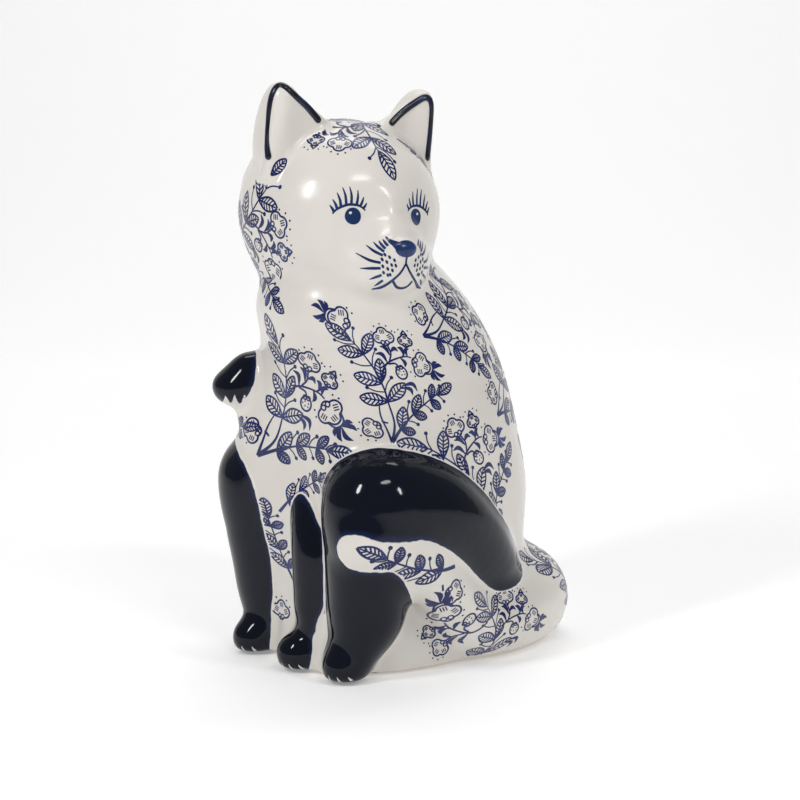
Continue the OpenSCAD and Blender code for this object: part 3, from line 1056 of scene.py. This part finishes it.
def felt():
    """Dark grey felt with fine fibres."""
    material = bpy.data.materials.new("felt")
    material.use_nodes = True
    tree = material.node_tree
    shader = tree.nodes["Principled BSDF"]
    shader.inputs["Roughness"].default_value = 0.95
    shader.inputs["Sheen Weight"].default_value = 0.3
    where = node(tree, "ShaderNodeTexCoord")
    fibres = node(tree, "ShaderNodeTexNoise", Scale=2500.0, Detail=4.0)
    tint = ramp(tree, [(0.3, (0.09, 0.085, 0.08, 1)), (0.7, (0.2, 0.19, 0.18, 1))])
    bump = node(tree, "ShaderNodeBump", Strength=0.6, Distance=0.0003)
    tree.links.new(where.outputs["Object"], fibres.inputs["Vector"])
    tree.links.new(fibres.outputs["Fac"], tint.inputs["Fac"])
    tree.links.new(fibres.outputs["Fac"], bump.inputs["Height"])
    tree.links.new(tint.outputs["Color"], shader.inputs["Base Color"])
    tree.links.new(bump.outputs["Normal"], shader.inputs["Normal"])
    return material


def dress(piece, material):
    piece.data.materials.clear()
    piece.data.materials.append(material)


# ---------------------------------------------------------------- studio

def back_vector(azimuth, elevation):
    return Vector((sin(azimuth) * cos(elevation), -cos(azimuth) * cos(elevation), sin(elevation)))


def aim(thing, target):
    thing.rotation_euler = (Vector(target) * MM - thing.location).to_track_quat("-Z", "Y").to_euler()


def make_camera():
    camera = bpy.data.objects.new("camera", bpy.data.cameras.new("camera"))
    bpy.context.scene.collection.objects.link(camera)
    back = back_vector(CAMERA_AZIMUTH, CAMERA_ELEVATION)
    camera.location = (Vector(CAMERA_TARGET) + CAMERA_DISTANCE * back) * MM
    camera.data.lens = CAMERA_LENS
    camera.data.sensor_width = 36
    aim(camera, CAMERA_TARGET)
    bpy.context.scene.camera = camera


def softbox(name, azimuth, elevation, distance, size, power, target=(0, -10, 120)):
    """An area light, its azimuth and elevation read like the camera's."""
    light = bpy.data.lights.new(name, "AREA")
    light.shape = "ELLIPSE"
    light.size, light.size_y = size[0] * MM, size[1] * MM
    light.energy = power
    lamp = bpy.data.objects.new(name, light)
    bpy.context.scene.collection.objects.link(lamp)
    lamp.location = (Vector(target) + distance * back_vector(radians(azimuth), radians(elevation))) * MM
    aim(lamp, target)


def make_floor():
    """A pale sweep: a level floor that curves up behind the object."""
    away = -back_vector(CAMERA_AZIMUTH, 0)
    across = Vector((away.y, -away.x, 0))
    radius, near, far, half = 500, -1100, 900, 2500
    profile = [(near, 0.0), (far, 0.0)]
    profile += [(far + radius * sin(t), radius * (1 - cos(t))) for t in np.linspace(0, pi / 2, 17)[1:]]
    profile += [(far + radius, 2500.0)]
    places = [tuple(away * run + across * side + Vector((0, 0, rise)))
              for run, rise in profile for side in (-half, half)]
    faces = [[2 * i, 2 * i + 1, 2 * i + 3, 2 * i + 2] for i in range(len(profile) - 1)]
    floor = new_mesh("floor", places, faces)
    material = bpy.data.materials.new("floor")
    material.use_nodes = True
    shader = material.node_tree.nodes["Principled BSDF"]
    shader.inputs["Base Color"].default_value = (0.9, 0.9, 0.9, 1)
    shader.inputs["Roughness"].default_value = 0.8
    shader.inputs["Emission Color"].default_value = (1, 1, 1, 1)
    shader.inputs["Emission Strength"].default_value = 0.24
    dress(floor, material)


def make_studio():
    world = bpy.data.worlds.new("studio")
    world.use_nodes = True
    world.node_tree.nodes["Background"].inputs["Color"].default_value = (1, 1, 1, 1)
    world.node_tree.nodes["Background"].inputs["Strength"].default_value = 0.23
    bpy.context.scene.world = world
    softbox("key_left", 5, 34, 900, (100, 300), 2.9)
    softbox("key_right", 98, 30, 900, (80, 220), 1.35)
    softbox("top", 74, 52, 900, (300, 110), 1.25)
    softbox("backdrop", 50, 60, 1500, (1500, 600), 11.0, target=(-1000, 900, 500))
    bpy.context.scene.view_settings.view_transform = "Standard"


# ---------------------------------------------------------------- assembly

HEAD_PIECES = ("head_shell", "left_ear", "right_ear")
BODY_PIECES = ("torso_shell", "tail")


def decorate(skin):
    """The printed pattern, the face, the painted highlight in each eye, the line round each ear and the
    claws.
    """
    print_ink = ink("pattern_blue", PATTERN_BLUE, FADED_BLUE)
    face_ink = ink("face_blue", FACE_BLUE_DEEP, FACE_BLUE)
    edge_ink = ink("edge_navy", NAVY, RUNNY_BLUE)
    # White glaze for the painted highlight in each eye and for the white claw lines.
    glint_and_claw_glaze = white_glaze("glint_and_claw_white")
    blue, white, navy = "underglaze_blue", "glaze_white", "glaze_navy"
    for name, clusters, rays, allowed in (
            ("body_pattern", BODY_CLUSTERS, body_rays, BODY_PIECES),
            ("tail_pattern", TAIL_CLUSTERS, tail_rays, BODY_PIECES),
            ("head_pattern", HEAD_CLUSTERS, head_rays, ("head_shell",)),
            ("crown_pattern", CROWN_CLUSTERS, crown_rays, ("head_shell",)),
            ("ear_foot_leaf", EAR_CLUSTERS, right_ear_rays, HEAD_PIECES)):
        skin.lay(name, draw_clusters(clusters), rays, print_ink, blue, allowed)
    skin.lay("face_lines", draw_face(), face_rays, face_ink, blue, ("head_shell",))
    skin.lay("eyes_and_nose", draw_irises(), face_rays, face_ink, blue, ("head_shell",), lift=0.08)
    # Painted highlights: a white dot over each iris.
    skin.lay("eye_glints", draw_glints(), face_rays, glint_and_claw_glaze, white, ("head_shell",), lift=0.12)
    skin.bead("left_ear_edge", ear_edge_rows(LEFT), face_rays, 3.0, edge_ink, navy)
    skin.bead("right_ear_edge", ear_edge_rows(RIGHT), right_ear_rays, 3.1, edge_ink, navy)
    for leg, gaps in TOE_GAPS.items():
        skin.lay(leg + "_claws", draw_claws(gaps), front_rays, glint_and_claw_glaze, white, (leg,), above=1.3)


def dress_pieces(shells):
    """The glaze or felt of each part's own slot, on its shell or else on its CAD piece."""
    looks = {"glaze_white": white_glaze(), "glaze_navy": navy_glaze(), "felt": felt()}
    for part in frame["record"]["subparts"]:
        name, slot = part["node"], part["material_slot"]
        dress(shells.get(name, frame["nodes"][name]), looks[slot])


make_camera()
cat_shells, cat_skin = make_cat()
decorate(cat_skin)
dress_pieces(cat_shells)
make_floor()
make_studio()
